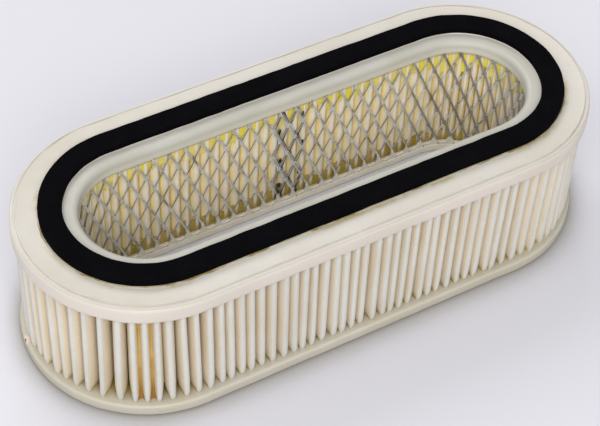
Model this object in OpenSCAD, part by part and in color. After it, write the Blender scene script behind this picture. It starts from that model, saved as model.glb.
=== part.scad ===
// Oval air filter element for a small petrol engine.
// A folded paper ring stands round an expanded-metal screen, two moulded soft end caps
// hold both of them, and a flat foam seal lies on the upper cap.
// The origin is the middle of the underside, +X runs along the element and +Z is up.

/* [Overall] */
// Distance between the centres of the two round ends
end_spacing = 128.6; // [80:0.1:200]
// Radius of the round ends, on the outside of the end caps
cap_radius = 45.7; // [38:0.1:60]
// Height from the underside to the upper face of the upper cap
body_height = 56.5; // [36:0.1:110]

/* [Air mouth] */
// Radius of the round ends of the opening through both caps
mouth_radius = 22.2; // [16:0.1:26.7]
// Rounding of the mouth where it meets the outer faces
mouth_round = 2.2; // [0.5:0.1:4]

/* [End caps] */
// Thickness of the upper cap
top_cap_t = 6.5; // [5:0.1:10]
// Thickness of the lower cap
bottom_cap_t = 5; // [4:0.1:10]
// Width of the lower shoulder round the upper cap's edge
shoulder_w = 2.1; // [1.6:0.1:3]
// How far the shoulder lies below the upper face
shoulder_drop = 0.5; // [0.2:0.1:1]
// Rounding of the shoulder's outer edge
top_edge_round = 1.2; // [0.5:0.1:1.5]
// Rounding of the other outer edges of both caps
bottom_edge_round = 1; // [0.3:0.1:1.5]

/* [Paper] */
// Thickness of the filter paper
paper_t = 0.5; // [0.3:0.05:0.8]
// Distance from the folds' outer tips to the caps' edge
pleat_inset = 1.2; // [0.5:0.1:3]
// Spacing of the folds on the straight sides
side_pitch = 4; // [3:0.1:8]
// Spacing of the folds' outer tips round the ends
end_pitch = 5; // [4:0.1:10]
// Width of a fold across its outer tip
fold_w = 2; // [1.8:0.1:2.4]
// Width of the floor between two folds
valley_w = 0.7; // [0.4:0.1:0.8]

/* [Screen] */
// Thickness of the expanded metal
screen_t = 0.8; // [0.4:0.1:1.2]
// Width of one diamond cell, from strand middle to strand middle
cell_w = 6.35; // [5:0.05:9]
// Height of one diamond cell
cell_h = 14; // [9:0.5:20]
// How far the first full row of openings lies above the strip's lower edge
cell_start = 4.8; // [0:0.1:7]
// Width of a strand
strand_w = 1; // [0.6:0.1:1.4]
// How far the screen stands back from the mouth of the caps
screen_setback = 0.1; // [0.05:0.05:0.5]
// Depth of the screen's seat in the upper cap
top_seat_d = 1.6; // [1:0.1:3]
// Depth of the screen's seat in the lower cap
bottom_seat_d = 1.4; // [1:0.1:3]
// Length over which the two ends of the metal strip lie on each other
lap_length = 11; // [7:0.5:20]
// Width of a weld spot on the lap
weld_d = 2.6; // [1.5:0.1:4]
// Number of weld spots, one above the other
weld_count = 4; // [2:1:6]
// Gap between the screen and the folds behind it
screen_gap = 0.9; // [0.85:0.05:2]

/* [Seal] */
// Width of the seal ring's band
seal_w = 7.75; // [4:0.05:9.3]
// Thickness of the seal
seal_t = 2.35; // [1:0.05:6]
// Distance from the mouth to the seal's inner edge
seal_inset = 5.7; // [3:0.1:6]
// Thickness of the adhesive film under the seal
film_t = 0.15; // [0.05:0.05:0.4]
// How far the adhesive squeezes out past the seal
film_margin = 0.6; // [0.1:0.1:1]

/* [Adhesive in the folds] */
// Height of the beads that lock the folds to the upper cap
top_bead_h = 3.5; // [1:0.1:8]
// Height of the beads that lock the folds to the lower cap
bottom_bead_h = 4.5; // [1:0.1:8]
// How far the beads reach into the folds, as a share of the fold's depth
bead_reach = 0.2; // [0.05:0.01:0.5]
// How far the seam adhesive fills a fold, as a share of the fold's depth
seam_reach = 0.15; // [0.05:0.01:0.4]
// Angle of the paper's seam round the left end, from the front side
seam_angle = 27; // [15:1:165]

/* [Hidden] */
$fn = 96;

// clearance between pieces that slide into each other, and the overlap of a cut past a face
seat_clearance = 0.15;
past = 1;

half_spacing = end_spacing / 2;
top_cap_z = body_height - top_cap_t;
seal_z = body_height + film_t;
seal_inner_r = mouth_radius + seal_inset;
seal_outer_r = seal_inner_r + seal_w;

screen_inner_r = mouth_radius + screen_setback;
screen_outer_r = screen_inner_r + screen_t;
screen_z = bottom_cap_t - bottom_seat_d;
screen_h = top_cap_z + top_seat_d - screen_z;
screen_seat_r = screen_outer_r + seat_clearance;

// the opening of a cell is the cell's rhombus, smaller by one strand
cell_side = sqrt(cell_w * cell_w + cell_h * cell_h) / 2;
opening_share = 1 - strand_w * cell_side * 2 / (cell_w * cell_h);
side_cells = round(end_spacing / cell_w);
end_cells = round(PI * screen_inner_r / cell_w);
cell_rows = ceil(screen_h / cell_h);
lap_shift = cell_w * 0.35;

fold_inner_r = screen_outer_r + screen_gap;
fold_outer_r = cap_radius - pleat_inset;
side_folds = round(end_spacing / side_pitch);
end_folds = round(PI * fold_outer_r / end_pitch);
fold_counts = [side_folds, end_folds, side_folds, end_folds];
paper_h = top_cap_z - bottom_cap_t;
seam_fold = round(end_folds * (1 - seam_angle / 180));

// ---- outlines shared by the pieces ----

// An oval: two round ends joined by straight sides.
module oval(r) {
    for (x = [-half_spacing, half_spacing])
        translate([x, 0])
            circle(r);
    translate([-half_spacing, -r])
        square([end_spacing, 2 * r]);
}

module oval_band(inner_r, outer_r) {
    difference() {
        oval(outer_r);
        oval(inner_r);
    }
}

// Carries a profile, drawn with x as the radius and y as the height, round the oval.
module oval_sweep() {
    for (side = [0, 1])
        mirror([0, side, 0])
            translate([-half_spacing, 0, 0])
                rotate([90, 0, 90])
                    linear_extrude(end_spacing)
                        children();
    for (end = [0, 1])
        mirror([end, 0, 0])
            translate([half_spacing, 0, 0])
                rotate([0, 0, -90])
                    rotate_extrude(angle = 180)
                        children();
}

// What a rounded corner removes; toward points from the corner into the material.
module corner_waste(corner, toward, r) {
    translate(corner)
        difference() {
            translate([toward.x < 0 ? -r : -past, toward.y < 0 ? -r : -past])
                square(r + past);
            translate([toward.x * r, toward.y * r])
                circle(r);
        }
}

// ---- end caps ----

module top_cap_profile() {
    difference() {
        translate([mouth_radius, top_cap_z])
            square([cap_radius - mouth_radius, top_cap_t]);
        translate([cap_radius - shoulder_w, body_height - shoulder_drop])
            square([shoulder_w + past, shoulder_drop + past]);
        corner_waste([cap_radius, body_height - shoulder_drop], [-1, -1], top_edge_round);
        corner_waste([cap_radius, top_cap_z], [-1, 1], bottom_edge_round);
        corner_waste([mouth_radius, body_height], [1, -1], mouth_round);
        translate([mouth_radius - past, top_cap_z - past])
            square([screen_seat_r - mouth_radius + past, top_seat_d + past]);
    }
}

module bottom_cap_profile() {
    difference() {
        translate([mouth_radius, 0])
            square([cap_radius - mouth_radius, bottom_cap_t]);
        corner_waste([cap_radius, bottom_cap_t], [-1, -1], bottom_edge_round);
        corner_waste([cap_radius, 0], [-1, 1], bottom_edge_round);
        corner_waste([mouth_radius, 0], [1, 1], mouth_round);
        translate([mouth_radius - past, screen_z])
            square([screen_seat_r - mouth_radius + past, bottom_seat_d + past]);
    }
}

module top_end_cap() {
    color("antiquewhite")
        oval_sweep()
            top_cap_profile();
}

module bottom_end_cap() {
    color("antiquewhite")
        oval_sweep()
            bottom_cap_profile();
}

// ---- folded paper ----

// A point of the folded ring. The ring has four runs: front side, right end, back side and
// left end. The station goes from 0 to 1 along a run, and shift is a distance along it.
function ring_point(run, station, r, shift) =
    let (
        turn = station * 180 + shift / r * 180 / PI,
        along = station * end_spacing + shift
    )
    run == 0 ? [along - half_spacing, -r] :
    run == 1 ? [half_spacing + r * sin(turn), -r * cos(turn)] :
    run == 2 ? [half_spacing - along, r] :
    [-half_spacing - r * sin(turn), r * cos(turn)];

// The two walls of one fold, each from the inside of the ring to its outside.
function fold_wall(run, fold, side, inner_r, inner_shift, outer_r, outer_shift) =
    let (n = fold_counts[run])
    [
        ring_point(run, (fold + (side + 1) / 2) / n, inner_r, -side * inner_shift),
        ring_point(run, (fold + 0.5) / n, outer_r, side * outer_shift)
    ];

// The paper's outer skin and its inner skin, along one wall of a fold.
function outer_wall(run, fold, side) =
    fold_wall(run, fold, side, fold_inner_r + paper_t, valley_w / 2, fold_outer_r, fold_w / 2);

function inner_wall(run, fold, side) =
    fold_wall(
        run, fold, side,
        fold_inner_r, valley_w / 2 + paper_t,
        fold_outer_r - paper_t, fold_w / 2 - paper_t
    );

function between(wall, share) = wall[0] + (wall[1] - wall[0]) * share;

module paper_outline() {
    outer = [
        for (run = [0:3], fold = [0:fold_counts[run] - 1], side = [-1, 1], end = [0, 1])
            outer_wall(run, fold, side)[side < 0 ? end : 1 - end]
    ];
    inner = [
        for (run = [0:3], fold = [0:fold_counts[run] - 1], side = [-1, 1], end = [0, 1])
            inner_wall(run, fold, side)[side < 0 ? end : 1 - end]
    ];
    difference() {
        polygon(outer);
        polygon(inner);
    }
}

module pleated_paper() {
    color("wheat")
        translate([0, 0, bottom_cap_t])
            linear_extrude(paper_h)
                paper_outline();
}

// ---- adhesive in the folds ----

// One bead in every fold, held between the fold's two walls on the screen's side.
module fold_beads(z, h) {
    translate([0, 0, z])
        linear_extrude(h)
            for (run = [0:3], fold = [0:fold_counts[run] - 1]) {
                left = inner_wall(run, fold, -1);
                right = inner_wall(run, fold, 1);
                polygon([left[0], between(left, bead_reach), between(right, bead_reach), right[0]]);
            }
}

module upper_fold_beads() {
    color("gold")
        fold_beads(top_cap_z - top_bead_h, top_bead_h);
}

module lower_fold_beads() {
    color("darkkhaki")
        fold_beads(bottom_cap_t, bottom_bead_h);
}

// The glue of the paper's seam lies in two neighbouring valleys on the outside of the ring.
module paper_seam() {
    color("goldenrod")
        translate([0, 0, bottom_cap_t])
            linear_extrude(paper_h)
                for (fold = [seam_fold - 1, seam_fold]) {
                    before = outer_wall(3, fold - 1, 1);
                    after = outer_wall(3, fold, -1);
                    polygon([before[0], between(before, seam_reach), between(after, seam_reach), after[0]]);
                }
}

// ---- screen ----

module cell_opening() {
    w = cell_w * opening_share / 2;
    h = cell_h * opening_share / 2;
    polygon([[-w, 0], [0, -h], [w, 0], [0, h]]);
}

// A flat stretch of expanded metal, drawn upright, with its cells in staggered rows.
module flat_screen(length, height, cells, shift) {
    pitch = length / cells;
    difference() {
        square([length, height]);
        for (row = [-1:2 * cell_rows], column = [-1:cells])
            translate([(column + (row % 2) / 2 + 0.5) * pitch + shift, cell_start + row * cell_h / 2])
                cell_opening();
    }
}

module stand_up(y, z) {
    translate([0, y + screen_t, z])
        rotate([90, 0, 0])
            linear_extrude(screen_t)
                children();
}

module screen_side() {
    stand_up(screen_inner_r, screen_z)
        translate([-half_spacing, 0])
            flat_screen(end_spacing, screen_h, side_cells, 0);
}

module screen_end() {
    step = 180 / end_cells;
    translate([half_spacing, 0, screen_z])
        difference() {
            rotate([0, 0, -90])
                rotate_extrude(angle = 180)
                    translate([screen_inner_r, 0])
                        square([screen_t, screen_h]);
            for (row = [-1:2 * cell_rows], column = [-1:end_cells])
                rotate([0, 0, -90 + (column + (row % 2) / 2 + 0.5) * step])
                    translate([screen_inner_r - past, 0, cell_start + row * cell_h / 2])
                        rotate([90, 0, 90])
                            linear_extrude(screen_t + 2 * past)
                                cell_opening();
        }
}

// The strip's other end lies on the back of the screen, between the two caps, and weld
// spots hold it.
module screen_lap() {
    weld_pitch = screen_h / weld_count;
    stand_up(screen_outer_r, bottom_cap_t)
        flat_screen(lap_length, paper_h, round(lap_length / cell_w), lap_shift);
    for (i = [0:weld_count - 1])
        translate([lap_length / 2, screen_inner_r, screen_z + (i + 0.5) * weld_pitch])
            rotate([-90, 0, 0])
                cylinder(d = weld_d, h = 2 * screen_t);
}

// The screen is one bent strip; its four stretches are nodes of their own.
module screen_front() {
    color("silver")
        mirror([0, 1, 0])
            screen_side();
}

module screen_back() {
    color("silver") {
        screen_side();
        screen_lap();
    }
}

module screen_left_end() {
    color("silver")
        mirror([1, 0, 0])
            screen_end();
}

module screen_right_end() {
    color("silver")
        screen_end();
}

// ---- seal ----

module seal_adhesive() {
    color("olive")
        translate([0, 0, body_height])
            linear_extrude(film_t)
                oval_band(seal_inner_r - film_margin, seal_outer_r + film_margin);
}

module seal_ring() {
    color("black")
        translate([0, 0, seal_z])
            linear_extrude(seal_t)
                oval_band(seal_inner_r, seal_outer_r);
}

top_end_cap();
bottom_end_cap();
pleated_paper();
paper_seam();
upper_fold_beads();
lower_fold_beads();
screen_front();
screen_back();
screen_left_end();
screen_right_end();
seal_ring();
seal_adhesive();
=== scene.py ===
# %% [markdown]
# # An oval air filter element
# The object is the replaceable cartridge of a small engine's air cleaner. A strip of paper is
# folded into a ring, a sleeve of expanded metal stands inside it, two soft end caps are cast
# over the ends, and a flat foam seal is glued on top.
# Blender works in metres here, in the same frame as the construction model, so every piece is
# placed from the model's own boxes.

# %% Load the construction model
import math
import random

import bpy
from mathutils import Matrix, Vector, noise


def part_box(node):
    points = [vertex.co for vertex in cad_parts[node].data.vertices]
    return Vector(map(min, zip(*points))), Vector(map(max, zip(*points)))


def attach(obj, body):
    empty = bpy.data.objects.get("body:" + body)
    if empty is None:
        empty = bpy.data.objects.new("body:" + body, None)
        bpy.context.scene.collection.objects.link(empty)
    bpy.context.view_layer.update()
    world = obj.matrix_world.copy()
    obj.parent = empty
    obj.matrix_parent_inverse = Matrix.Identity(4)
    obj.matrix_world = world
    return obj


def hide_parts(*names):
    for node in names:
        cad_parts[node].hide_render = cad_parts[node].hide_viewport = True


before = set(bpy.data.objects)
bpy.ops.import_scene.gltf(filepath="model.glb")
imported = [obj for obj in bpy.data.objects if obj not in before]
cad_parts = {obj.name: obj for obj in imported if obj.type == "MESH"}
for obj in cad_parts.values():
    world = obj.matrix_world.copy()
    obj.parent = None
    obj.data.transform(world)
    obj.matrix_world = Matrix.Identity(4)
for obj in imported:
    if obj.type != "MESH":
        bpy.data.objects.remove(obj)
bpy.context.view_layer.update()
MM = 0.001

# %% [markdown]
# ## The sizes that everything follows
# Each ring of the filter is the same oval at another radius: two half circles joined by
# straight sides. The line between the centres of the two half circles is the spine. A ring's
# radius is its distance from the spine, so two numbers describe any point: a radius and a
# height. They are measured on the construction model's nodes.

# %% Measure the rings
cap_low, cap_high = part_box("top_end_cap")
HALF_SPACING = cap_high.x - cap_high.y


def spine_distance(point):
    """How far a point is from the spine, seen from above."""
    return math.hypot(max(abs(point.x) - HALF_SPACING, 0.0), point.y)


def radii(*nodes):
    """The smallest and the largest radius of some nodes of the construction model."""
    found = [spine_distance(v.co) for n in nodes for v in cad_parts[n].data.vertices]
    return min(found), max(found)


SCREEN_NODES = ("screen_front", "screen_back", "screen_left_end", "screen_right_end")
MOUTH_R, CAP_R = radii("top_end_cap")
PAPER_IN_R, PAPER_OUT_R = radii("pleated_paper")
SEAL_IN_R, SEAL_OUT_R = radii("seal_ring")
SCREEN_IN_R, SCREEN_OUT_R = radii("screen_left_end", "screen_right_end")
PAPER_LOW, PAPER_HIGH = (corner.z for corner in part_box("pleated_paper"))
SCREEN_LOW, SCREEN_HIGH = (corner.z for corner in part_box("screen_left_end"))
SEAL_LOW, SEAL_HIGH = (corner.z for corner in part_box("seal_ring"))
FACE_Z = cap_high.z
for name, value in (("spine half", HALF_SPACING), ("mouth", MOUTH_R), ("caps", CAP_R),
                    ("paper", PAPER_OUT_R), ("seal", SEAL_OUT_R), ("screen", SCREEN_IN_R)):
    print(f"{name}: {value / MM:.2f} mm")

# %% [markdown]
# ## A few habits, written once
# Operators act on what is selected, so each piece is selected alone before it is changed.
# Modifiers are applied as soon as they are set, so the finished shape is plain geometry.

# %% Selecting and editing
random.seed(7)


def only(piece):
    """Selects one piece alone and makes it the active one."""
    bpy.ops.object.select_all(action="DESELECT")
    piece.select_set(True)
    bpy.context.view_layer.objects.active = piece
    return piece


def add(operator, name, **settings):
    """Runs an operator that adds an object, and names the new object."""
    bpy.ops.object.select_all(action="DESELECT")
    operator(**settings)
    piece = bpy.context.object
    piece.name = piece.data.name = name
    return piece


def edit(piece, kind="VERT", everything=True):
    only(piece)
    bpy.ops.object.mode_set(mode="EDIT")
    bpy.ops.mesh.select_mode(type=kind)
    bpy.ops.mesh.select_all(action="SELECT" if everything else "DESELECT")


def leave_edit():
    bpy.ops.object.mode_set(mode="OBJECT")


def pick(piece, wanted):
    """Starts to edit a piece with only those points selected whose place is wanted."""
    edit(piece, everything=False)
    leave_edit()
    for vertex in piece.data.vertices:
        vertex.select = wanted(vertex.co)
    bpy.ops.object.mode_set(mode="EDIT")


def apply_modifier(piece, kind, **settings):
    """Adds a modifier to a piece, sets it and applies it."""
    modifier = piece.modifiers.new(kind.lower(), kind)
    for setting, value in settings.items():
        setattr(modifier, setting, value)
    only(piece)
    bpy.ops.object.modifier_apply(modifier=modifier.name)


def face_outwards(piece):
    edit(piece)
    bpy.ops.mesh.normals_make_consistent(inside=False)
    leave_edit()


def close_mesh(piece, gap=0.01 * MM):
    """Joins points that lie on each other and turns every face outwards."""
    edit(piece)
    bpy.ops.mesh.remove_doubles(threshold=gap)
    leave_edit()
    face_outwards(piece)


def smooth(piece, angle=40):
    only(piece)
    bpy.ops.object.shade_smooth_by_angle(angle=math.radians(angle))


def join(pieces, name):
    """Makes one piece of several, and names it."""
    only(pieces[0])
    for piece in pieces:
        piece.select_set(True)
    bpy.ops.object.join()
    pieces[0].name = pieces[0].data.name = name
    return pieces[0]


def lumps(piece, size, height, seed):
    """Sinks a piece's surface here and there, by soft lumps of a given size."""
    texture = bpy.data.textures.new(f"lumps_{piece.name}_{seed}", "CLOUDS")
    texture.noise_scale = size
    texture.noise_depth = 1
    helper = bpy.data.objects.new(f"lumps_place_{seed}", None)
    helper.location = (0.1 * seed, 0.07 * seed, 0.03 * seed)
    bpy.context.scene.collection.objects.link(helper)
    bpy.context.view_layer.update()
    apply_modifier(piece, "DISPLACE", texture=texture, strength=height, mid_level=1,
                   texture_coords="OBJECT", texture_coords_object=helper)
    bpy.data.objects.remove(helper)


def finish_piece(piece, slot, *nodes):
    """Hangs a finished piece on the root and hides the model nodes it stands for. The slot is not used.
    """
    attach(piece, "root")
    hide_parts(*nodes)
    piece.data.calc_loop_triangles()
    print(f"{piece.name}: {len(piece.data.loop_triangles)} triangles")


# %% [markdown]
# ## Camera, floor and light
# The camera looks down at about 45 degrees with a long lens. Its axes come from three angles:
# round the object, above it, and a small roll. Large area lamps stand for soft boxes, so
# shadows have no hard edge.

# %% Set up the camera
AIM = Vector((0, 0, 30 * MM))
DISTANCE = 638 * MM
around, above, roll = (math.radians(angle) for angle in (-32.39, 46.57, 3.38))
back = Vector((math.sin(around) * math.cos(above), -math.cos(around) * math.cos(above),
               math.sin(above)))
level_right = Vector((math.cos(around), math.sin(around), 0))
level_up = back.cross(level_right)
right = level_right * math.cos(roll) + level_up * math.sin(roll)
up = level_up * math.cos(roll) - level_right * math.sin(roll)

bpy.ops.object.select_all(action="DESELECT")
bpy.ops.object.camera_add()
camera = bpy.context.object
facing = Matrix((right, up, back)).transposed().to_4x4()
camera.matrix_world = Matrix.Translation(AIM + back * DISTANCE) @ facing
camera.data.lens = 106.5
camera.data.sensor_width = 36
camera.data.shift_x = -0.0134
camera.data.shift_y = -0.0305
camera.data.clip_start = 0.01
bpy.context.scene.camera = camera
bpy.context.scene.view_settings.view_transform = "Standard"
print("camera stands", round(DISTANCE / MM), "mm from the filter")

# %% Lay the floor and hang the lamps
floor = add(bpy.ops.mesh.primitive_plane_add, "studio_floor", size=6, location=(0, 0, 0))
edit(floor)
bpy.ops.mesh.subdivide(number_cuts=3)
leave_edit()


def soft_box(name, place, size, power, colour=(1, 1, 1)):
    """A square area lamp that faces the filter."""
    lamp = add(bpy.ops.object.light_add, name, type="AREA", location=place)
    lamp.rotation_euler = (Vector(place) - AIM).to_track_quat("Z", "Y").to_euler()
    lamp.data.size = size
    lamp.data.energy = power
    lamp.data.color = colour
    return lamp


soft_box("lamp_behind", (0.20, 1.50, 1.70), 1.3, 20)
soft_box("lamp_at_the_left", (-1.70, 0.10, 1.60), 1.3, 9)
soft_box("lamp_low_in_front", (-0.60, -2.10, 1.15), 1.3, 12)
soft_box("lamp_in_front", (-0.84, -1.50, 1.95), 1.6, 44)
world = bpy.data.worlds.new("pale_room")
bpy.context.scene.world = world
world.use_nodes = True
world.node_tree.nodes["Background"].inputs["Color"].default_value = (0.95, 0.95, 0.95, 1)
world.node_tree.nodes["Background"].inputs["Strength"].default_value = 0.42

# %% [markdown]
# ## Rings with a cross-section
# The caps, the seal and its adhesive are all one cross-section carried round the oval. It
# could be drawn as a curve with a bevel object, but then the seams and the density are out of
# hand. Here a circle's points are moved to the cross-section, extruded along the front side,
# spun round the right end, and so on back to the start.

# %% Carry a cross-section round the oval
def rounded(corners, steps=6):
    """An outline from corners (radius, height, rounding), each corner rounded by an arc."""
    outline = []
    for i, (x, z, size) in enumerate(corners):
        corner = Vector((x, z))
        before = Vector(corners[i - 1][:2]) - corner
        after = Vector(corners[(i + 1) % len(corners)][:2]) - corner
        if size == 0:
            outline.append(corner)
            continue
        half = before.angle(after) / 2
        reach = size / math.tan(half)
        inward = (before.normalized() + after.normalized()).normalized()
        centre = corner + inward * size / math.sin(half)
        start = corner + before.normalized() * reach - centre
        end = corner + after.normalized() * reach - centre
        turn = start.angle_signed(end)
        for k in range(steps + 1):
            a = -turn * k / steps
            outline.append(centre + Vector((start.x * math.cos(a) - start.y * math.sin(a),
                                            start.x * math.sin(a) + start.y * math.cos(a))))
    return outline


def carry_round(name, outline, side_steps=60, end_steps=36):
    """A closed ring with this outline of (radius, height) as its cross-section."""
    ring = add(bpy.ops.mesh.primitive_circle_add, name,
               vertices=len(outline), radius=CAP_R, fill_type="NOTHING")
    for vertex, (radius, height) in zip(ring.data.vertices, outline):
        vertex.co = (-HALF_SPACING, -radius, height)
    edit(ring, "EDGE")
    for way in (1, -1):
        step = (way * 2 * HALF_SPACING / side_steps, 0, 0)
        for _ in range(side_steps):
            bpy.ops.mesh.extrude_region_move(TRANSFORM_OT_translate={"value": step})
        middle = (way * HALF_SPACING, 0, 0)
        bpy.ops.mesh.spin(steps=end_steps, angle=-math.pi, center=middle, axis=(0, 0, 1))
    leave_edit()
    close_mesh(ring)
    return ring


# %% [markdown]
# ## The two end caps
# The caps are cast from liquid plastisol in a tray, so all their edges are round and a little
# uneven. The upper cap has a low step round its edge and a fine raised line where the step
# begins. Its outer edge hangs a little over the heads of the folds, more so at the left end,
# and its lower edge wavers. The ring tool above makes both caps. Lumps only ever go inwards,
# so the caps keep their size.

# %% Cast the upper cap
STEP_R = CAP_R - 2.1 * MM
STEP_Z = FACE_Z - 0.5 * MM
SEAT_R = SCREEN_OUT_R + 0.15 * MM
RIDGE_Z = FACE_Z + 0.08 * MM
GROOVE_Z = STEP_Z - 0.04 * MM
SKIRT_HANG, SKIRT_HANG_LEFT = 0.75, 1.15  # in mm, like the two wavers
WIDE_WAVER, FINE_WAVER = 0.45, 0.25
upper_outline = rounded([
    (MOUTH_R, FACE_Z, 2.2 * MM), (MOUTH_R, SCREEN_HIGH, 0.3 * MM), (SEAT_R, SCREEN_HIGH, 0),
    (SEAT_R, cap_low.z, 0), (CAP_R, cap_low.z, 1.3 * MM), (CAP_R, STEP_Z, 1.3 * MM),
    (CAP_R - 0.9 * MM, STEP_Z, 0), (CAP_R - 1.05 * MM, GROOVE_Z, 0),
    (CAP_R - 1.25 * MM, STEP_Z, 0), (STEP_R + 0.15 * MM, STEP_Z, 0),
    (STEP_R, RIDGE_Z, 0.1 * MM), (STEP_R - 0.5 * MM, RIDGE_Z, 0.1 * MM),
    (STEP_R - 0.8 * MM, FACE_Z, 0), (34 * MM, FACE_Z - 0.1 * MM, 0)])
upper_cap = carry_round("upper_cap", upper_outline)
lumps(upper_cap, 9 * MM, 0.25 * MM, 1)
lumps(upper_cap, 2 * MM, 0.06 * MM, 2)
for vertex in upper_cap.data.vertices:
    if spine_distance(vertex.co) > CAP_R - 2 * MM and vertex.co.z < cap_low.z + 1.6 * MM:
        hang = (SKIRT_HANG if vertex.co.x > -HALF_SPACING else SKIRT_HANG_LEFT) * MM
        wide = WIDE_WAVER * MM * abs(noise.noise(vertex.co * 170))
        fine = FINE_WAVER * MM * abs(noise.noise(vertex.co * 420))
        vertex.co.z += wide + fine - hang
smooth(upper_cap, 50)
finish_piece(upper_cap, "cap_plastisol", "top_end_cap")

# %% Cast the lower cap
low_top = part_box("bottom_end_cap")[1].z
lower_outline = rounded([
    (MOUTH_R, 0, 1.0 * MM), (CAP_R, 0, 1.1 * MM), (CAP_R, low_top, 1.2 * MM),
    (SEAT_R, low_top, 0.3 * MM), (SEAT_R, SCREEN_LOW, 0), (MOUTH_R, SCREEN_LOW, 0.4 * MM)])
lower_cap = carry_round("lower_cap", lower_outline)
lumps(lower_cap, 9 * MM, 0.3 * MM, 3)
lumps(lower_cap, 2 * MM, 0.06 * MM, 4)
smooth(lower_cap, 50)

# %% [markdown]
# ## Places on the ring
# The folds, the glue between them and the strands of the screen all repeat round the oval. A
# helper gives the point at a share of one of its four runs: front side, right end, back side
# and left end. Each repeated shape is modelled once, flat on the bench, and its copies are
# bent to their places with this helper.

# %% Find a place on the ring
FRONT, RIGHT_END, BACK, LEFT_END = range(4)


def on_ring(run, share, radius, height=0.0):
    """The point at a share of a run, at a radius and a height."""
    if run in (FRONT, BACK):
        side = -1 if run == FRONT else 1
        return Vector((side * (1 - 2 * share) * HALF_SPACING, side * radius, height))
    turn = math.pi * (share + (-0.5 if run == RIGHT_END else 0.5))
    middle = HALF_SPACING if run == RIGHT_END else -HALF_SPACING
    return Vector((middle + radius * math.cos(turn), radius * math.sin(turn), height))


def run_length(run, radius):
    return 2 * HALF_SPACING if run in (FRONT, BACK) else math.pi * radius


def copy_of(master):
    """A copy with a mesh of its own."""
    piece = master.copy()
    piece.data = master.data.copy()
    bpy.context.scene.collection.objects.link(piece)
    return piece


print("front side:", round(run_length(FRONT, PAPER_OUT_R) / MM, 1), "mm long")

# %% [markdown]
# ## One fold of the paper
# The filter paper is one strip, folded to and fro 120 times. From outside each fold is a soft
# band about 2 mm wide, with a pocket beside it. The columns of a flat grid are moved to the
# fold's outline. Then its lower rows are squeezed and drawn back, because the cap pinches
# each fold there. Behind the band the paper swells until it nearly meets the next fold, so
# the pockets look shallow, and it swells more at the round ends. A curve with an array would
# give equal folds, and the real ones lean and crowd.

# %% Fold the paper once
PAPER_T = 0.35 * MM
PITCH = 4.0 * MM
DEPTH = PAPER_OUT_R - PAPER_IN_R - PAPER_T
MIDDLE_Z = (PAPER_LOW + PAPER_HIGH) / 2
PAPER_H = PAPER_HIGH - PAPER_LOW
LEVELS = [PAPER_LOW / MM - 0.2, 5.9, 8.0, 12.5, 28.0, 44.0, PAPER_HIGH / MM + 0.2]


def fold(name, flare):
    """One fold on the bench. Its walls swell out to the flare, a half width in mm, behind the band."""
    deep = DEPTH / MM
    half = [(2.0, 0.0), (1.5, 0.12), (1.12, 0.5), (0.5, 1.5), (0.24, 2.7), (0.5, 4.8),
            (flare, deep - 4.5), (0.3 * flare + 0.75, deep - 1.7), (0.98, deep - 0.8),
            (0.76, deep - 0.22), (0.28, deep)]
    outline = [(-x, y) for x, y in half] + [(x, y) for x, y in reversed(half)]
    piece = add(bpy.ops.mesh.primitive_grid_add, name, size=PITCH,
                x_subdivisions=len(outline) - 1, y_subdivisions=len(LEVELS) - 1)
    for number, vertex in enumerate(piece.data.vertices):
        row, column = divmod(number, len(outline))
        vertex.co = (outline[column][0] * MM, outline[column][1] * MM, LEVELS[row] * MM)
    for part, low, high, squeezes, draw_backs in (
            ("wall", 6 * MM, DEPTH - 1 * MM, (0.40, 0.58, 0.84, 1), (0, 0, 0, 0)),
            ("band", DEPTH - 1 * MM, DEPTH * 2, (0.50, 0.86, 0.96, 1), (1.1, 0.45, 0.1, 0))):
        for level, squeeze, draw_back in zip(LEVELS, squeezes, draw_backs):
            pick(piece, lambda place: (abs(place.z - level * MM) < 0.01 * MM
                                       and low < place.y < high))
            bpy.ops.transform.resize(value=(squeeze, 1, 1), center_override=(0, 0, 0))
            bpy.ops.transform.translate(value=(0, -draw_back * MM, 0))
            leave_edit()
    print(name, len(piece.data.polygons), "faces")
    return piece


side_fold = fold("side_fold", 1.72)
end_fold = fold("end_fold", 2.05)

# %% [markdown]
# ## The whole ring of folds
# Each copy is bent to its own slot. Its inner edges take the slot's two borders, so neighbours
# share them and the paper stays one strip, and its outer band may lie a little to one side,
# lean, and stand a little deeper. Three folds crowd together at the left end, where the two
# ends of the strip are glued over each other.

# %% Place the folds
FOLD_COUNTS = (32, 28, 32, 28)
LEANS = ([(0, 1.3), (1, -1.1)], [(0, -1.1), (1, 0.3)], [(0, 0.3), (1, -0.5)],
         [(0, -0.5), (0.5, 1.4), (0.78, -0.9), (0.84, -0.2), (0.9, 1.0), (1, 1.3)])
SEAM_FOLD = 23
SEAM_SHARE = 1 - 26.9 / 180
CROWDED_STEP = 5.4 / 180


def lean_at(run, share):
    """How far a fold's foot stands to the right of its head, for folds in this place."""
    for (start, first), (end, last) in zip(LEANS[run], LEANS[run][1:]):
        if share <= end:
            break
    return (first + (last - first) * (share - start) / (end - start)) * MM


def bend_to_slot(piece, run, first, last, tip, width=1.0, lean=0.0, foot=0.0, sink=0.0):
    """Bends a piece from the bench to the slot of one fold."""
    length = run_length(run, PAPER_OUT_R)
    for vertex in piece.data.vertices:
        across, depth, height = vertex.co
        part = depth / DEPTH
        fall = (MIDDLE_Z - height) / PAPER_H
        near_foot = max(0.0, (12 * MM - height) / (12 * MM - PAPER_LOW))
        inner = (first + last) / 2 + across / PITCH * (last - first)
        outer = tip + (across * width + lean * fall + foot * near_foot) / length
        share = inner + (outer - inner) * part
        radius = PAPER_IN_R + PAPER_T / 2 + depth - sink * part
        vertex.co = on_ring(run, share, radius, height)
    return piece


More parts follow.
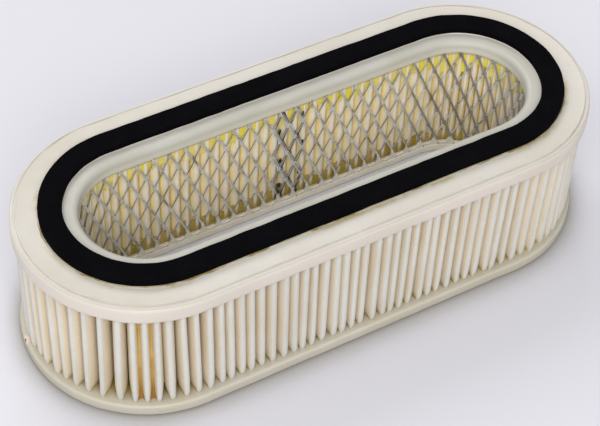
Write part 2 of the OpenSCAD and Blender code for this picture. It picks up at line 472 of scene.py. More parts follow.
slots = []
for run, count in enumerate(FOLD_COUNTS):
    borders = [0.0] + [(i + random.uniform(-0.07, 0.07)) / count for i in range(1, count)] + [1.0]
    for i in range(count):
        crowded = run == LEFT_END and abs(i - SEAM_FOLD) <= 1
        tip = (i + 0.5 + random.uniform(-0.13, 0.13)) / count
        width = random.uniform(0.9, 1.12)
        if run == LEFT_END and i in (SEAM_FOLD - 3, SEAM_FOLD - 2):
            tip += (0.25, 0.45)[i - SEAM_FOLD + 3] / count
        if crowded:
            tip = SEAM_SHARE + (i - SEAM_FOLD) * CROWDED_STEP
            width = 0.86
        slots.append(dict(run=run, first=borders[i], last=borders[i + 1], tip=tip, width=width,
                          lean=lean_at(run, tip) + random.uniform(-0.35, 0.35) * MM,
                          foot=random.uniform(-0.35, 0.35) * MM, sink=random.uniform(0, 0.45) * MM))

masters = {FRONT: side_fold, RIGHT_END: end_fold, BACK: side_fold, LEFT_END: end_fold}
folds = [bend_to_slot(copy_of(masters[slot["run"]]), **slot) for slot in slots]
paper = join(folds, "pleated_paper_ring")
for master in (side_fold, end_fold):
    bpy.data.objects.remove(master)
close_mesh(paper, 0.03 * MM)
apply_modifier(paper, "SOLIDIFY", thickness=PAPER_T, offset=0)
smooth(paper, 60)
finish_piece(paper, "filter_paper", "pleated_paper")
print(len(slots), "folds")

# %% [markdown]
# ## Glue and resin between the folds
# Before the caps are cast, beads of yellow hot glue are run across the folds to space them.
# They show as bright patches at the top of the screen and olive ones at its foot. Each bead
# fills the mouth of one fold, with a hollow free face. A cube is cut into a small grid, and
# the middle of that face is pushed in. The upper beads run further down at the right end.

# %% Model one glue bead and place the copies
def bar(name, middle, size, cuts):
    """A bar on the bench, cut into a grid."""
    piece = add(bpy.ops.mesh.primitive_cube_add, name, size=1, location=middle)
    piece.scale = size
    bpy.ops.object.transform_apply(location=True, rotation=False, scale=True)
    edit(piece)
    bpy.ops.mesh.subdivide(number_cuts=cuts)
    leave_edit()
    return piece


def bead(name, floor_z, free_z, across, near, far, hollow):
    """A bead on the bench from floor_z to free_z, with a hollow in its free face."""
    piece = bar(name, (0, (near + far) / 2, (floor_z + free_z) / 2),
                (across, far - near, abs(free_z - floor_z)), 2)
    pick(piece, lambda place: place.y > (near + far) / 2)
    bpy.ops.transform.resize(value=(0.5, 1, 1), center_override=(0, 0, 0))
    leave_edit()
    pick(piece, lambda place: abs(place.z - free_z) < 0.01 * MM and abs(place.x) < across * 0.3)
    bpy.ops.transform.translate(value=(0, 0, math.copysign(hollow, floor_z - free_z)))
    leave_edit()
    return piece


def bead_row(name, master, floor_z, low, high, right_end=1.0):
    """One bead in every fold, each of its own height, and longer or shorter at the right end."""
    beads = []
    for slot in slots:
        piece = copy_of(master)
        stretch = random.uniform(low, high) * (right_end if slot["run"] == RIGHT_END else 1)
        for vertex in piece.data.vertices:
            vertex.co.z = floor_z + (vertex.co.z - floor_z) * stretch
        beads.append(bend_to_slot(piece, **slot))
    row = join(beads, name)
    bpy.data.objects.remove(master)
    face_outwards(row)
    smooth(row, 50)
    return row


top_bead = bead("top_bead", PAPER_HIGH + 0.1 * MM, PAPER_HIGH - 5 * MM,
                2.3 * MM, -0.15 * MM, 5 * MM, 1.0 * MM)
upper_beads = bead_row("upper_glue", top_bead, PAPER_HIGH, 0.7, 1.6, right_end=1.5)
finish_piece(upper_beads, "fold_adhesive", "upper_fold_beads")

foot_bead = bead("foot_bead", PAPER_LOW - 0.1 * MM, PAPER_LOW + 4.6 * MM,
                 2.4 * MM, 0.0, 5 * MM, 1.2 * MM)
lower_beads = bead_row("lower_glue", foot_bead, PAPER_LOW, 0.7, 1.6)
finish_piece(lower_beads, "fold_adhesive", "lower_fold_beads")

# %% [markdown]
# ## The seam of the paper
# Two neighbouring pockets at the left end hold amber glue over their whole height: the two
# ends of the paper strip lie over each other there. Each streak is a narrow bar between two
# folds, with a hollow front face. It is cut along its length, so that it can lean with them.

# %% Run the seam glue
seam_streaks = []
for before in (SEAM_FOLD - 1, SEAM_FOLD):
    streak = bar("streak", (0, 0, MIDDLE_Z), (2.6 * MM, 3.2 * MM, PAPER_H), 5)
    pick(streak, lambda place: place.y > 1.5 * MM and abs(place.x) < 0.8 * MM)
    bpy.ops.transform.translate(value=(0, -0.7 * MM, 0))
    bpy.ops.transform.vertex_random(offset=0.15 * MM, seed=before)
    leave_edit()
    at = sum(FOLD_COUNTS[:3]) + before
    left_fold, right_fold = slots[at:at + 2]
    lean = (left_fold["lean"] + right_fold["lean"]) / 2
    for vertex in streak.data.vertices:
        across, forward, height = vertex.co
        fall = (MIDDLE_Z - height) / PAPER_H
        share = ((left_fold["tip"] + right_fold["tip"]) / 2
                 + (across + lean * fall) / run_length(LEFT_END, PAPER_OUT_R))
        vertex.co = on_ring(LEFT_END, share, PAPER_OUT_R - 3.9 * MM + forward, height)
    seam_streaks.append(streak)
seam = join(seam_streaks, "seam_glue")
close_mesh(seam)
smooth(seam, 50)
finish_piece(seam, "seam_adhesive", "paper_seam")

# %% [markdown]
# ## One strand of the screen
# Expanded metal is a sheet that is slit and pulled open. Each strand runs to and fro, touches
# the strand on its left and then the one on its right, and is turned like the slat of a
# louvre. A wireframe or a texture would lose that turn, and with it the way every second leg
# catches the light. A small tilted rectangle is extruded along the zigzag. The next strand
# has its zigzag half a step later, so two masters are enough. The faces of the legs that
# lean one way are marked, and the material paints shade on them.

# %% Extrude the two kinds of strand
CELL_W = 6.35 * MM
CELL_H = 14 * MM
FIRST_CROSSING = 8.4 * MM
STRAND_W, STRAND_T = 0.78 * MM, 0.42 * MM
SWING = CELL_W / 4 - 0.33 * MM
SWAY = 0.2 * MM
BOND = 0.7 * MM
tilt = math.radians(-46)


def swing_at(height, phase):
    """Which way a strand leans out at a height: +1 for right, -1 for left."""
    step = (height - FIRST_CROSSING) / (CELL_H / 2) + phase
    whole = round(step)
    offset = (step - whole) * CELL_H / 2
    reach = CELL_H / 4 - BOND
    here = 1 if whole % 2 == 0 else -1
    if abs(offset) <= BOND:
        return here
    return here * (1 - (abs(offset) - BOND) / reach)


def strand(name, phase, low, high):
    """One strand on the bench, as a closed bar of small faces."""
    piece = add(bpy.ops.mesh.primitive_circle_add, name,
                vertices=4, radius=STRAND_W, fill_type="NGON")
    stops = [low]
    crossing = FIRST_CROSSING - CELL_H / 2
    while crossing < high:
        stops += [z for z in (crossing - BOND, crossing + BOND)
                  if low + BOND / 2 < z < high - BOND / 2]
        crossing += CELL_H / 2
    stops.append(high)
    places = [Vector((SWING * swing_at(z, phase), SWAY * swing_at(z, phase), z)) for z in stops]
    corners = [(-STRAND_W / 2, -STRAND_T / 2), (STRAND_W / 2, -STRAND_T / 2),
               (STRAND_W / 2, STRAND_T / 2), (-STRAND_W / 2, STRAND_T / 2)]
    for vertex, (x, y) in zip(piece.data.vertices, corners):
        vertex.co = places[0] + Vector((x * math.cos(tilt) - y * math.sin(tilt),
                                        x * math.sin(tilt) + y * math.cos(tilt), 0))
    edit(piece, "FACE")
    for before, after in zip(places, places[1:]):
        bpy.ops.mesh.extrude_region_move(TRANSFORM_OT_translate={"value": after - before})
    leave_edit()
    face_outwards(piece)
    # This attribute marks the legs that lean one way, so that the material can paint shade on them.
    shaded_leg = piece.data.attributes.new("shaded_leg", "FLOAT", "FACE")
    for face in piece.data.polygons:
        below = [place for place in places[:-1] if place.z <= face.center.z]
        before = max(below, key=lambda place: place.z, default=places[0])
        after = places[places.index(before) + 1]
        shaded_leg.data[face.index].value = 1.0 if after.x < before.x - 0.1 * MM else 0.0
    return piece


strand_a = strand("strand_a", 0, SCREEN_LOW + 0.1 * MM, SCREEN_HIGH - 0.1 * MM)
strand_b = strand("strand_b", 1, SCREEN_LOW + 0.1 * MM, SCREEN_HIGH - 0.1 * MM)
print("one strand:", len(strand_a.data.polygons), "faces")

# %% [markdown]
# ## The whole screen
# The strands stand side by side all round the oval, half a cell apart. Where the strip's two
# ends meet, at the middle of the back side, they lie over each other for 11 mm, and a second
# layer of strands shows there between the screen and the paper. The lap is held by small weld
# spots, which burnt the zinc. The spots carry an attribute that makes them scorched.

# %% Place the strands
MEAN_R = (SCREEN_IN_R + SCREEN_OUT_R) / 2
ROUND = 4 * HALF_SPACING + 2 * math.pi * MEAN_R
strand_count = 2 * round(ROUND / CELL_W)


def along_screen(distance, radius, height):
    """The place that lies a distance round the screen from the left end of the front side."""
    distance %= ROUND
    for run in (FRONT, RIGHT_END, BACK, LEFT_END):
        length = run_length(run, MEAN_R)
        if distance <= length or run == LEFT_END:
            return on_ring(run, distance / length, radius, height)
        distance -= length


def bend_strand(piece, distance, radius):
    for vertex in piece.data.vertices:
        x, y, z = vertex.co
        vertex.co = along_screen(distance + x, radius + y, z)
    return piece


strands = []
for i in range(strand_count):
    master = strand_a if i % 2 == 0 else strand_b
    strands.append(bend_strand(copy_of(master), ROUND * (i + 0.5) / strand_count, MEAN_R))
LAP_STRANDS = 4
LAP_OFFSET = 0.7 * MM
lap_start = 2 * HALF_SPACING + math.pi * MEAN_R + HALF_SPACING - 11.2 * MM
lap_a = strand("lap_a", 0.2, PAPER_LOW + 0.2 * MM, PAPER_HIGH - 0.2 * MM)
lap_b = strand("lap_b", 1.2, PAPER_LOW + 0.2 * MM, PAPER_HIGH - 0.2 * MM)
for i in range(LAP_STRANDS):
    master = lap_a if i % 2 == 0 else lap_b
    distance = lap_start + (i + 0.3) * CELL_W / 2
    strands.append(bend_strand(copy_of(master), distance, MEAN_R + LAP_OFFSET))
for master in (strand_a, strand_b, lap_a, lap_b):
    bpy.data.objects.remove(master)

# %% Add the weld spots
SPOTS = 10
SPOT_COLUMNS = (0.8, 10.2)
for i in range(SPOTS):
    spot = add(bpy.ops.mesh.primitive_ico_sphere_add, "weld", subdivisions=2, radius=1.0 * MM)
    edit(spot)
    bpy.ops.transform.resize(value=(0.6, 0.25, 1.3))
    bpy.ops.transform.vertex_random(offset=0.5 * MM, seed=i)
    leave_edit()
    place = Vector(((SPOT_COLUMNS[i % 3 == 2] + random.uniform(-0.5, 1.2)) * MM, MEAN_R + 0.6 * MM,
                    (7.0 + 4.8 * i + random.uniform(-1, 1)) * MM))
    for vertex in spot.data.vertices:
        vertex.co += place
    scorched = spot.data.attributes.new("scorched", "FLOAT", "FACE")
    for face in spot.data.polygons:
        scorched.data[face.index].value = 1.0
    strands.append(spot)
screen = join(strands, "expanded_metal_screen")
face_outwards(screen)
smooth(screen, 30)
finish_piece(screen, "galvanised_screen", *SCREEN_NODES)
print(strand_count, "strands round the oval")

# %% [markdown]
# ## Resin that climbs the screen
# Where the screen stands in the lower cap, the liquid plastisol climbed its strands before it
# set. It left a scalloped collar, so the lowest row of openings ends in a row of U shapes. One
# scallop is a small grid whose columns follow that line and whose foot stands down in the
# screen's seat. Its copies stand all round, and a Solidify gives them a thin wall.

# %% Raise the scalloped collar of the lower cap
scallop = add(bpy.ops.mesh.primitive_grid_add, "scallop",
              x_subdivisions=10, y_subdivisions=2, size=CELL_W)
RISE = 3.4 * MM
COLLAR_FOOT = low_top - 1.5 * MM
for number, vertex in enumerate(scallop.data.vertices):
    row, column = divmod(number, 11)
    across = column / 10 * 2 - 1
    top = low_top + 0.1 * MM + RISE * abs(across) ** 2.6
    vertex.co = (across * CELL_W / 2, 0.25 * MM * (row - 1),
                 COLLAR_FOOT + (top - COLLAR_FOOT) * row / 2)
scallops = []
for i in range(strand_count // 2):
    piece = copy_of(scallop)
    high = random.uniform(0.75, 1.1)
    for vertex in piece.data.vertices:
        x, y, z = vertex.co
        z = low_top + (z - low_top) * high if z > low_top else z
        distance = ROUND * 2 * i / strand_count + x
        vertex.co = along_screen(distance, MEAN_R - 0.1 * MM - y, z)
    scallops.append(piece)
bpy.data.objects.remove(scallop)
collar = join(scallops, "collar")
close_mesh(collar, 0.3 * MM)
apply_modifier(collar, "SOLIDIFY", thickness=0.55 * MM, offset=0)
lower_cap = join([lower_cap, collar], "lower_cap")
smooth(lower_cap, 50)
finish_piece(lower_cap, "cap_plastisol", "bottom_end_cap")

# %% [markdown]
# ## The foam seal and its adhesive
# The seal is cut from black sponge sheet, so its edges are square and its faces plain. It is
# full and firm. Lumps sink its surface, so its band is cut a little wider than the model's.
# The adhesive is a thin film that was pressed out on both sides. Its outer edge wanders: the
# points there are pushed in and out by a slow noise.

# %% Cut the seal
SPREAD = 0.32 * MM
seal_outline = rounded([
    (SEAL_IN_R - SPREAD, SEAL_LOW, 0), (SEAL_OUT_R + SPREAD, SEAL_LOW, 0),
    (SEAL_OUT_R + SPREAD, SEAL_HIGH, 0.3 * MM), (SEAL_IN_R - SPREAD, SEAL_HIGH, 0.3 * MM)], steps=3)
seal = carry_round("foam_seal", seal_outline, side_steps=80, end_steps=48)
lumps(seal, 7 * MM, 0.35 * MM, 5)
smooth(seal, 35)
finish_piece(seal, "seal_foam", "seal_ring")

# %% Press the adhesive out
film_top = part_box("seal_adhesive")[1].z
film_outline = [Vector(corner) for corner in (
    (SEAL_IN_R - 0.3 * MM, FACE_Z - 0.3 * MM), (SEAL_OUT_R + 0.7 * MM, FACE_Z - 0.3 * MM),
    (SEAL_OUT_R + 0.55 * MM, film_top - 0.03 * MM), (SEAL_OUT_R - 1 * MM, film_top),
    (SEAL_IN_R + 1 * MM, film_top), (SEAL_IN_R, film_top - 0.03 * MM))]
film = carry_round("adhesive_film", film_outline, side_steps=120, end_steps=80)
for vertex in film.data.vertices:
    radius = spine_distance(vertex.co)
    edge = 1 if radius > SEAL_OUT_R - 0.5 * MM else 0
    wander = edge * 0.5 * MM * noise.noise(vertex.co * 260)
    start = Vector((max(-HALF_SPACING, min(HALF_SPACING, vertex.co.x)), 0, vertex.co.z))
    vertex.co += (vertex.co - start).normalized() * wander
smooth(film, 50)
finish_piece(film, "contact_adhesive", "seal_adhesive")

# %% [markdown]
# ## Building materials from nodes
# Every finish here is procedural, and small helpers keep the node trees short. Patterns read
# Object coordinates, which lie in the mesh, so they don't slide.

# %% Helpers for shader nodes
def fill(tree, sockets, inputs):
    """Links sockets to other nodes, or gives them plain values."""
    for key, value in inputs.items():
        if isinstance(value, bpy.types.NodeSocket):
            tree.links.new(value, sockets[key])
        else:
            sockets[key].default_value = value


def node(tree, kind, inputs, **settings):
    """Adds a shader node, sets it, and fills or links its inputs."""
    made = tree.nodes.new("ShaderNode" + kind)
    for setting, value in settings.items():
        setattr(made, setting, value)
    fill(tree, made.inputs, inputs)
    return made


def coordinates(tree):
    return node(tree, "TexCoord", {}).outputs["Object"]


def mark(tree, name):
    """A mask that the mesh carries as an attribute."""
    return node(tree, "Attribute", {}, attribute_name=name).outputs["Fac"]


def rgb(red, green, blue):
    """A colour given as a screen shows it, from 0 to 255, turned into the shader's numbers."""
    return tuple((c / 255 / 12.92) if c <= 10 else ((c / 255 + 0.055) / 1.055) ** 2.4
                 for c in (red, green, blue)) + (1,)


def blend(tree, share, first, second):
    return node(tree, "Mix", {0: share, 6: first, 7: second},
                data_type="RGBA", clamp_factor=True).outputs[2]


def fade(tree, value, low, high, start=0.0, end=1.0):
    """Turns a value from low to high into a soft step from start to end."""
    return node(tree, "MapRange", {0: value, 1: low, 2: high, 3: start, 4: end},
                interpolation_type="SMOOTHSTEP").outputs[0]


def maths(tree, operation, first, second=0.0):
    return node(tree, "Math", {0: first, 1: second}, operation=operation).outputs[0]


def grain(tree, place, size, detail=2.0, roughness=0.5):
    """Soft noise whose patches are about the given size."""
    return node(tree, "TexNoise", {"Vector": place, "Scale": 0.5 / size, "Detail": detail,
                                   "Roughness": roughness}).outputs["Fac"]


# %% [markdown]
# ## A group that knows the oval
# Most marks on this object follow the oval, so a small group turns a place into its radius,
# its height and its place along the oval, in millimetres. Most materials use it.

# %% Group: place on the oval
oval_place = bpy.data.node_groups.new("oval_place", "ShaderNodeTree")
for name in ("Radius", "Height", "Along"):
    oval_place.interface.new_socket(name, in_out="OUTPUT", socket_type="NodeSocketFloat")
place = coordinates(oval_place)
in_mm = node(oval_place, "VectorMath", {0: place, 3: 1000.0}, operation="SCALE").outputs[0]
parts = node(oval_place, "SeparateXYZ", {0: in_mm})
beyond = maths(oval_place, "ABSOLUTE", parts.outputs[0])
beyond = maths(oval_place, "MAXIMUM", maths(oval_place, "SUBTRACT", beyond, HALF_SPACING / MM))
across = node(oval_place, "CombineXYZ", {0: beyond, 1: parts.outputs[1]}).outputs[0]
radius = node(oval_place, "VectorMath", {0: across}, operation="LENGTH").outputs["Value"]
out = oval_place.nodes.new("NodeGroupOutput")
for name, value in (("Radius", radius), ("Height", parts.outputs[2]), ("Along", parts.outputs[0])):
    oval_place.links.new(value, out.inputs[name])
print("group:", oval_place.name)

# %% [markdown]
# ## Groups for mottled colour and fine pits
# Plastisol, paper and glue are never one even colour. One group blends two colours by a wide
# and a fine noise. Another puts out a height for the Bump node: fine grain over wide
# unevenness.

# %% Group: mottled colour
def sized_noise(tree, place, size, detail):
    """Soft noise in a group, whose patch size is one of the group's inputs."""
    scale = maths(tree, "DIVIDE", 0.5, size)
    return node(tree, "TexNoise", {"Vector": place, "Scale": scale, "Detail": detail}).outputs["Fac"]


mottled = bpy.data.node_groups.new("mottled_colour", "ShaderNodeTree")
for name, kind, value in (("Main", "NodeSocketColor", (0.7, 0.7, 0.7, 1)),
                          ("Patch", "NodeSocketColor", (0.6, 0.6, 0.6, 1)),
                          ("Wide Size", "NodeSocketFloat", 0.02),
                          ("Fine Size", "NodeSocketFloat", 0.001),
                          ("Fine Share", "NodeSocketFloat", 0.3)):
    mottled.interface.new_socket(name, in_out="INPUT", socket_type=kind).default_value = value
mottled.interface.new_socket("Color", in_out="OUTPUT", socket_type="NodeSocketColor")
given = mottled.nodes.new("NodeGroupInput").outputs
place = coordinates(mottled)
wide = sized_noise(mottled, place, given["Wide Size"], 3.0)
fine = sized_noise(mottled, place, given["Fine Size"], 2.0)
wide_mask = fade(mottled, wide, 0.35, 0.7)
fine_mask = maths(mottled, "MULTIPLY", fade(mottled, fine, 0.4, 0.7), given["Fine Share"])
share = maths(mottled, "MAXIMUM", wide_mask, fine_mask)
out = mottled.nodes.new("NodeGroupOutput")
mottled.links.new(blend(mottled, share, given["Main"], given["Patch"]), out.inputs["Color"])

# %% Group: uneven skin
uneven = bpy.data.node_groups.new("uneven_skin", "ShaderNodeTree")
for name, value in (("Grain Size", 0.0005), ("Wave Size", 0.01), ("Grain Share", 0.2)):
    made = uneven.interface.new_socket(name, in_out="INPUT", socket_type="NodeSocketFloat")
    made.default_value = value
uneven.interface.new_socket("Height", in_out="OUTPUT", socket_type="NodeSocketFloat")
given = uneven.nodes.new("NodeGroupInput").outputs
place = coordinates(uneven)
small = sized_noise(uneven, place, given["Grain Size"], 2.0)
large = sized_noise(uneven, place, given["Wave Size"], 1.0)
out = uneven.nodes.new("NodeGroupOutput")
small = maths(uneven, "MULTIPLY", small, given["Grain Share"])
uneven.links.new(maths(uneven, "ADD", large, small), out.inputs["Height"])
print("groups:", mottled.name, uneven.name)


# %% Helpers that start a material and use the groups
def start_material(name, roughness, specular):
    """A new material, its tree and its Principled BSDF, with the plain values set."""
    material = bpy.data.materials.new(name)
    material.use_nodes = True
    surface = material.node_tree.nodes["Principled BSDF"]
    surface.inputs["Roughness"].default_value = roughness
    surface.inputs["Specular IOR Level"].default_value = specular
    return material, material.node_tree, surface


def group(tree, which, **inputs):
    return node(tree, "Group", inputs, node_tree=which).outputs


def on_oval(tree):
    """The radius, height and place along the oval, in millimetres."""
    return group(tree, oval_place)


def mottle(tree, main, patch, wide, fine, share):
    """Two colours blended by a wide and a fine noise. The noises' sizes are in metres."""
    return group(tree, mottled, Main=main, Patch=patch, **{
        "Wide Size": wide, "Fine Size": fine, "Fine Share": share})["Color"]


def skin(tree, grain_size, wave_size, share):
    """The height of an uneven skin, for a Bump node."""
    return group(tree, uneven, **{"Grain Size": grain_size, "Wave Size": wave_size,
                                  "Grain Share": share})["Height"]


def vary_gloss(tree, surface, place, size, low, high):
    """Lets the roughness wander between two values."""
    wander = fade(tree, grain(tree, place, size), 0.3, 0.7, low, high)
    tree.links.new(wander, surface.inputs["Roughness"])


def bump(tree, surface, height, strength, distance):
    made = node(tree, "Bump", {"Height": height, "Strength": strength, "Distance": distance})
    tree.links.new(made.outputs[0], surface.inputs["Normal"])


def colour_it(tree, surface, colour):
    tree.links.new(colour, surface.inputs["Base Color"])


def both(tree, first, second):
    """The overlap of two masks."""
    return maths(tree, "MULTIPLY", first, second)


# %% [markdown]
# ## Cast plastisol
# The caps are cream, a little waxy and softly mottled. The upper cap's inner lip is painted
# greyer, as painted shade inside the mouth, and turns paler down its wall, and its skirt is
# painted lighter, as painted light on the side wall. Near the seal lie olive smudges of
# adhesive. In the lower cap the resin is olive between the folds, partly where glue mixed with
# it and partly as painted shade, and it is painted paler on the inside, as painted light in the
# shaded mouth, and one brown speck sits on its left edge.

# %% Material: upper cap
plastisol_upper, tree, surface = start_material("plastisol_upper_cap", 0.42, 0.45)
spot = on_oval(tree)
cream = mottle(tree, rgb(199, 194, 185), rgb(194, 187, 175), 0.022, 0.0016, 0.35)
# The lip is painted greyer than the cream: painted shade inside the mouth. Lower down its wall it turns
# paler.
shaded_lip = mottle(tree, rgb(180, 178, 169), rgb(172, 170, 158), 0.014, 0.002, 0.3)
# The skirt is painted lighter than the top: painted light on the side wall.
lit_skirt = mottle(tree, rgb(209, 201, 191), rgb(203, 194, 182), 0.018, 0.0016, 0.35)
shaded_lip = blend(tree, fade(tree, spot["Height"], 55.5, 53.0), shaded_lip, rgb(208, 205, 192))
colour = blend(tree, fade(tree, spot["Radius"], 27.0, 29.5), shaded_lip, cream)
at_skirt = both(tree, fade(tree, spot["Radius"], 44.6, 45.4), fade(tree, spot["Height"], 56.0, 55.0))
colour = blend(tree, at_skirt, colour, lit_skirt)
place = coordinates(tree)
near_seal = both(tree, fade(tree, spot["Radius"], 38.6, 36.0), fade(tree, spot["Height"], 56.0, 56.2))
smudge = both(tree, near_seal, fade(tree, grain(tree, place, 0.007, 4.0, 0.6), 0.47, 0.64))
smudge = both(tree, smudge, fade(tree, spot["Radius"], 34, 35))
colour = blend(tree, smudge, colour, rgb(168, 156, 116))
under = fade(tree, spot["Height"], 51.2, 50.1)
under = both(tree, under, fade(tree, spot["Radius"], 45.4, 44.6))
colour = blend(tree, under, colour, rgb(196, 182, 140))
colour_it(tree, surface, colour)
vary_gloss(tree, surface, place, 0.004, 0.36, 0.5)
bump(tree, surface, skin(tree, 0.0008, 0.008, 0.12), 0.5, 0.0006)

# %% Material: lower cap
plastisol_lower, tree, surface = start_material("plastisol_lower_cap", 0.45, 0.4)
spot = on_oval(tree)
cream = mottle(tree, rgb(190, 185, 171), rgb(184, 177, 159), 0.02, 0.0016, 0.35)
# The inner rim is painted paler than the cream: painted light in the shaded mouth.
pale_painted_light = mottle(tree, rgb(236, 231, 220), rgb(228, 221, 200), 0.006, 0.001, 0.5)
olive_and_shade = mottle(tree, rgb(160, 142, 72), rgb(128, 110, 48), 0.005, 0.001, 0.4)
colour = blend(tree, fade(tree, spot["Radius"], 23.6, 25.0), pale_painted_light, cream)
# Olive between the folds: partly glue mixed with the resin, partly painted shade between the folds.
top_face = fade(tree, spot["Height"], 4.3, 4.8)
pockets = both(tree, fade(tree, spot["Radius"], 23.4, 24.0), fade(tree, spot["Radius"], 43.5, 37.0))
colour = blend(tree, both(tree, top_face, pockets), colour, olive_and_shade)
place = coordinates(tree)
SPECK = (-0.1092, 0.0060, 0.0040)
from_speck = node(tree, "VectorMath", {0: place, 1: SPECK}, operation="DISTANCE").outputs["Value"]
colour = blend(tree, fade(tree, from_speck, 0.0026, 0.0012), colour, rgb(214, 196, 178))
colour = blend(tree, fade(tree, from_speck, 0.0009, 0.0004), colour, rgb(120, 84, 62))
colour_it(tree, surface, colour)
vary_gloss(tree, surface, place, 0.004, 0.38, 0.55)
bump(tree, surface, skin(tree, 0.0008, 0.007, 0.12), 0.5, 0.0006)

# %% [markdown]
# ## Filter paper
# The paper is soaked with resin. It is nearly white on the band where a fold comes outwards,
# and tan in the pockets, which are painted lighter and warmer than the band: tan resin and
# painted light that stands in for light arriving through the paper. On the inside it is
# yellower and painted very light, as painted light in the shaded hollow. Near the foot the
# folds are olive, partly glue and partly painted shade. Its skin is matte and fibrous: a fine
# noise, drawn out along the folds, gives the fibres.

# %% Material: paper
paper_finish, tree, surface = start_material("resin_paper", 0.85, 0.2)
spot = on_oval(tree)
band = mottle(tree, rgb(205, 203, 196), rgb(199, 195, 185), 0.012, 0.0008, 0.4)
# The pockets are painted lighter and warmer than the band: tan resin and painted light that stands in
# for light through the paper.
pocket_tan_and_light = mottle(tree, rgb(220, 208, 186), rgb(215, 200, 173), 0.01, 0.001, 0.4)
# The inside is painted very light: yellow paper and painted light in the shaded hollow, with paler
# tips.
inside = mottle(tree, rgb(250, 236, 184), rgb(248, 230, 168), 0.006, 0.001, 0.4)
tips = mottle(tree, rgb(238, 230, 214), rgb(234, 222, 196), 0.004, 0.001, 0.4)
at_tips = fade(tree, spot["Radius"], PAPER_IN_R / MM + 1.1, PAPER_IN_R / MM + 0.7)
inside = blend(tree, at_tips, inside, tips)
colour = blend(tree, fade(tree, spot["Radius"], 43.3, 43.9), pocket_tan_and_light, band)
colour = blend(tree, fade(tree, spot["Radius"], 30.0, 27.0), colour, inside)
# Olive near the foot: partly glue, partly painted shade low in the pockets.
foot = both(tree, fade(tree, spot["Height"], 9.0, 5.0), fade(tree, spot["Radius"], 44.0, 42.5))
colour = blend(tree, foot, colour, rgb(190, 172, 112))
colour_it(tree, surface, colour)
place = coordinates(tree)
fibre = node(tree, "Mapping", {"Vector": place, "Scale": (1.0, 1.0, 0.25)}).outputs[0]
vary_gloss(tree, surface, fibre, 0.0006, 0.78, 0.95)
bump(tree, surface, grain(tree, fibre, 0.0004, 3.0, 0.65), 0.35, 0.0002)

# %% [markdown]
# ## Zinc on the screen
# The screen is hot-dip galvanised: satin blue-grey with lighter and darker crystals. The legs
# that lean one way are painted browner, as painted shade on their shaded side; towards the
# right end the painted shade moves to the other legs. At the lap, the weld heat burnt the zinc,
# and it rusted nearly black. The lap's place is a mask along the back side, and the weld spots
# carry their own attribute.

# %% Material: galvanised screen
zinc, tree, surface = start_material("galvanised_zinc", 0.42, 0.5)
spot = on_oval(tree)
place = coordinates(tree)
crystal = node(tree, "TexVoronoi", {"Vector": place, "Scale": 420.0}, feature="F1").outputs["Color"]
crystal_grey = node(tree, "SeparateColor", {0: crystal}).outputs[0]
colour = blend(tree, crystal_grey, rgb(238, 240, 242), rgb(212, 215, 219))
browned = fade(tree, grain(tree, place, 0.004, 3.0), 0.5, 0.7)
colour = blend(tree, browned, colour, rgb(160, 150, 136))
# Painted shade on the legs that lean one way. Towards the right end it moves to the other legs.
leg_shade = mark(tree, "shaded_leg")
other_side = fade(tree, spot["Along"], 48.0, 64.0)
leg_shade = maths(tree, "ABSOLUTE", maths(tree, "SUBTRACT", leg_shade, other_side))
colour = blend(tree, maths(tree, "MULTIPLY", leg_shade, 0.7), colour, rgb(122, 114, 105))
lap_y = node(tree, "SeparateXYZ", {0: place}).outputs[1]
lap_layer = fade(tree, spot["Radius"], MEAN_R / MM + 0.3, MEAN_R / MM + 0.6)
at_lap = both(tree, fade(tree, spot["Along"], -1.5, 1.5), fade(tree, spot["Along"], 13.0, 9.0))
at_lap = both(tree, at_lap, fade(tree, lap_y, 0.015, 0.02))
patches = grain(tree, place, 0.0035, 3.0, 0.6)
lap_layer = both(tree, lap_layer, fade(tree, patches, 0.40, 0.48))
burnt = both(tree, at_lap, maths(tree, "MAXIMUM", lap_layer, fade(tree, patches, 0.60, 0.66)))
burnt = maths(tree, "MAXIMUM", burnt, mark(tree, "scorched"))
colour = blend(tree, burnt, colour, rgb(48, 34, 28))
colour_it(tree, surface, colour)
unburnt = maths(tree, "SUBTRACT", 1.0, burnt)
tree.links.new(maths(tree, "MULTIPLY", unburnt, 0.42), surface.inputs["Metallic"])
vary_gloss(tree, surface, place, 0.002, 0.34, 0.55)
bump(tree, surface, grain(tree, place, 0.0012), 0.3, 0.0002)

# %% [markdown]
# ## Foam and glue
# The foam is black, matte and pitted. A Voronoi pattern gives its cells their walls. The
# glues are glossy: bright yellow at the top of the folds and olive at the foot, where the olive
# is partly painted shade; amber in the seam, darker low down.

# %% Material: foam
foam, tree, surface = start_material("black_foam", 0.9, 0.04)
place = coordinates(tree)
cells = node(tree, "TexVoronoi", {"Vector": place, "Scale": 1800.0}, feature="F1").outputs["Distance"]
colour_it(tree, surface, blend(tree, fade(tree, cells, 0.1, 0.6), rgb(2, 2, 3), rgb(7, 6, 9)))
vary_gloss(tree, surface, place, 0.005, 0.8, 0.95)
bump(tree, surface, maths(tree, "ADD", cells, grain(tree, place, 0.004)), 0.5, 0.0003)

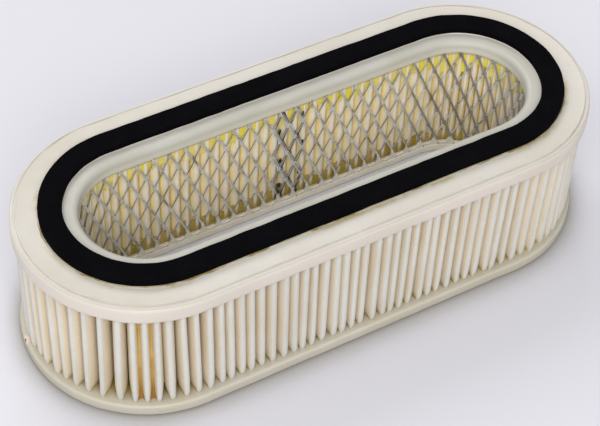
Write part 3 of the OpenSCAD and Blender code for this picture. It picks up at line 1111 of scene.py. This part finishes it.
# %% Material: fold glue, seam glue and adhesive film
fold_glue, tree, surface = start_material("fold_glue", 0.35, 0.5)
spot = on_oval(tree)
yellow = mottle(tree, rgb(236, 222, 74), rgb(238, 220, 134), 0.007, 0.001, 0.3)
olive_and_shade = mottle(tree, rgb(174, 152, 56), rgb(192, 168, 104), 0.006, 0.001, 0.3)
# Olive low down is partly painted shade on the same glue.
colour_it(tree, surface, blend(tree, fade(tree, spot["Height"], 20.0, 30.0), olive_and_shade, yellow))
place = coordinates(tree)
bump(tree, surface, grain(tree, place, 0.0015), 0.4, 0.0004)

amber_glue, tree, surface = start_material("amber_glue", 0.3, 0.5)
place = coordinates(tree)
spot = on_oval(tree)
blotches = fade(tree, grain(tree, place, 0.004, 3.0), 0.35, 0.65)
amber = blend(tree, blotches, rgb(200, 170, 94), rgb(184, 146, 60))
low_down = fade(tree, spot["Height"], 20.0, 9.0)
colour_it(tree, surface, blend(tree, low_down, amber, rgb(158, 116, 40)))
bump(tree, surface, grain(tree, place, 0.0015), 0.4, 0.0004)

film_glue, tree, surface = start_material("seal_glue_film", 0.3, 0.5)
place = coordinates(tree)
spot = on_oval(tree)
blotches = fade(tree, grain(tree, place, 0.004, 3.0), 0.42, 0.6)
squeezed = blend(tree, blotches, rgb(180, 172, 150), rgb(136, 122, 80))
outside = fade(tree, spot["Radius"], 30.0, 32.0)
colour_it(tree, surface, blend(tree, outside, rgb(186, 178, 168), squeezed))
bump(tree, surface, grain(tree, place, 0.0012), 0.4, 0.0003)

# %% [markdown]
# ## The floor
# The floor is plain pale paper. An Ambient Occlusion node paints a contact shadow on it close
# to the filter, but only outside the oval, so the floor seen through the mouth stays bright.

# %% Material: studio floor
floor_paper, tree, surface = start_material("studio_floor", 0.75, 0.15)
place = coordinates(tree)
open_floor = blend(tree, grain(tree, place, 0.3), rgb(210, 210, 216), rgb(207, 206, 213))
spot = on_oval(tree)
openness = node(tree, "AmbientOcclusion", {"Distance": 0.014}, samples=8).outputs["AO"]
# A painted contact shadow, darker close to the filter.
painted_contact_shadow = both(tree, fade(tree, openness, 1.0, 0.45), fade(tree, spot["Radius"], 34.0, 44.0))
colour_it(tree, surface, blend(tree, painted_contact_shadow, open_floor, rgb(150, 146, 142)))

# %% Give each piece its material
for piece, finish in ((upper_cap, plastisol_upper), (lower_cap, plastisol_lower), (paper, paper_finish),
                      (screen, zinc), (seal, foam), (film, film_glue), (upper_beads, fold_glue),
                      (lower_beads, fold_glue), (seam, amber_glue), (floor, floor_paper)):
    piece.data.materials.clear()
    piece.data.materials.append(finish)
    print(piece.name, "->", finish.name)
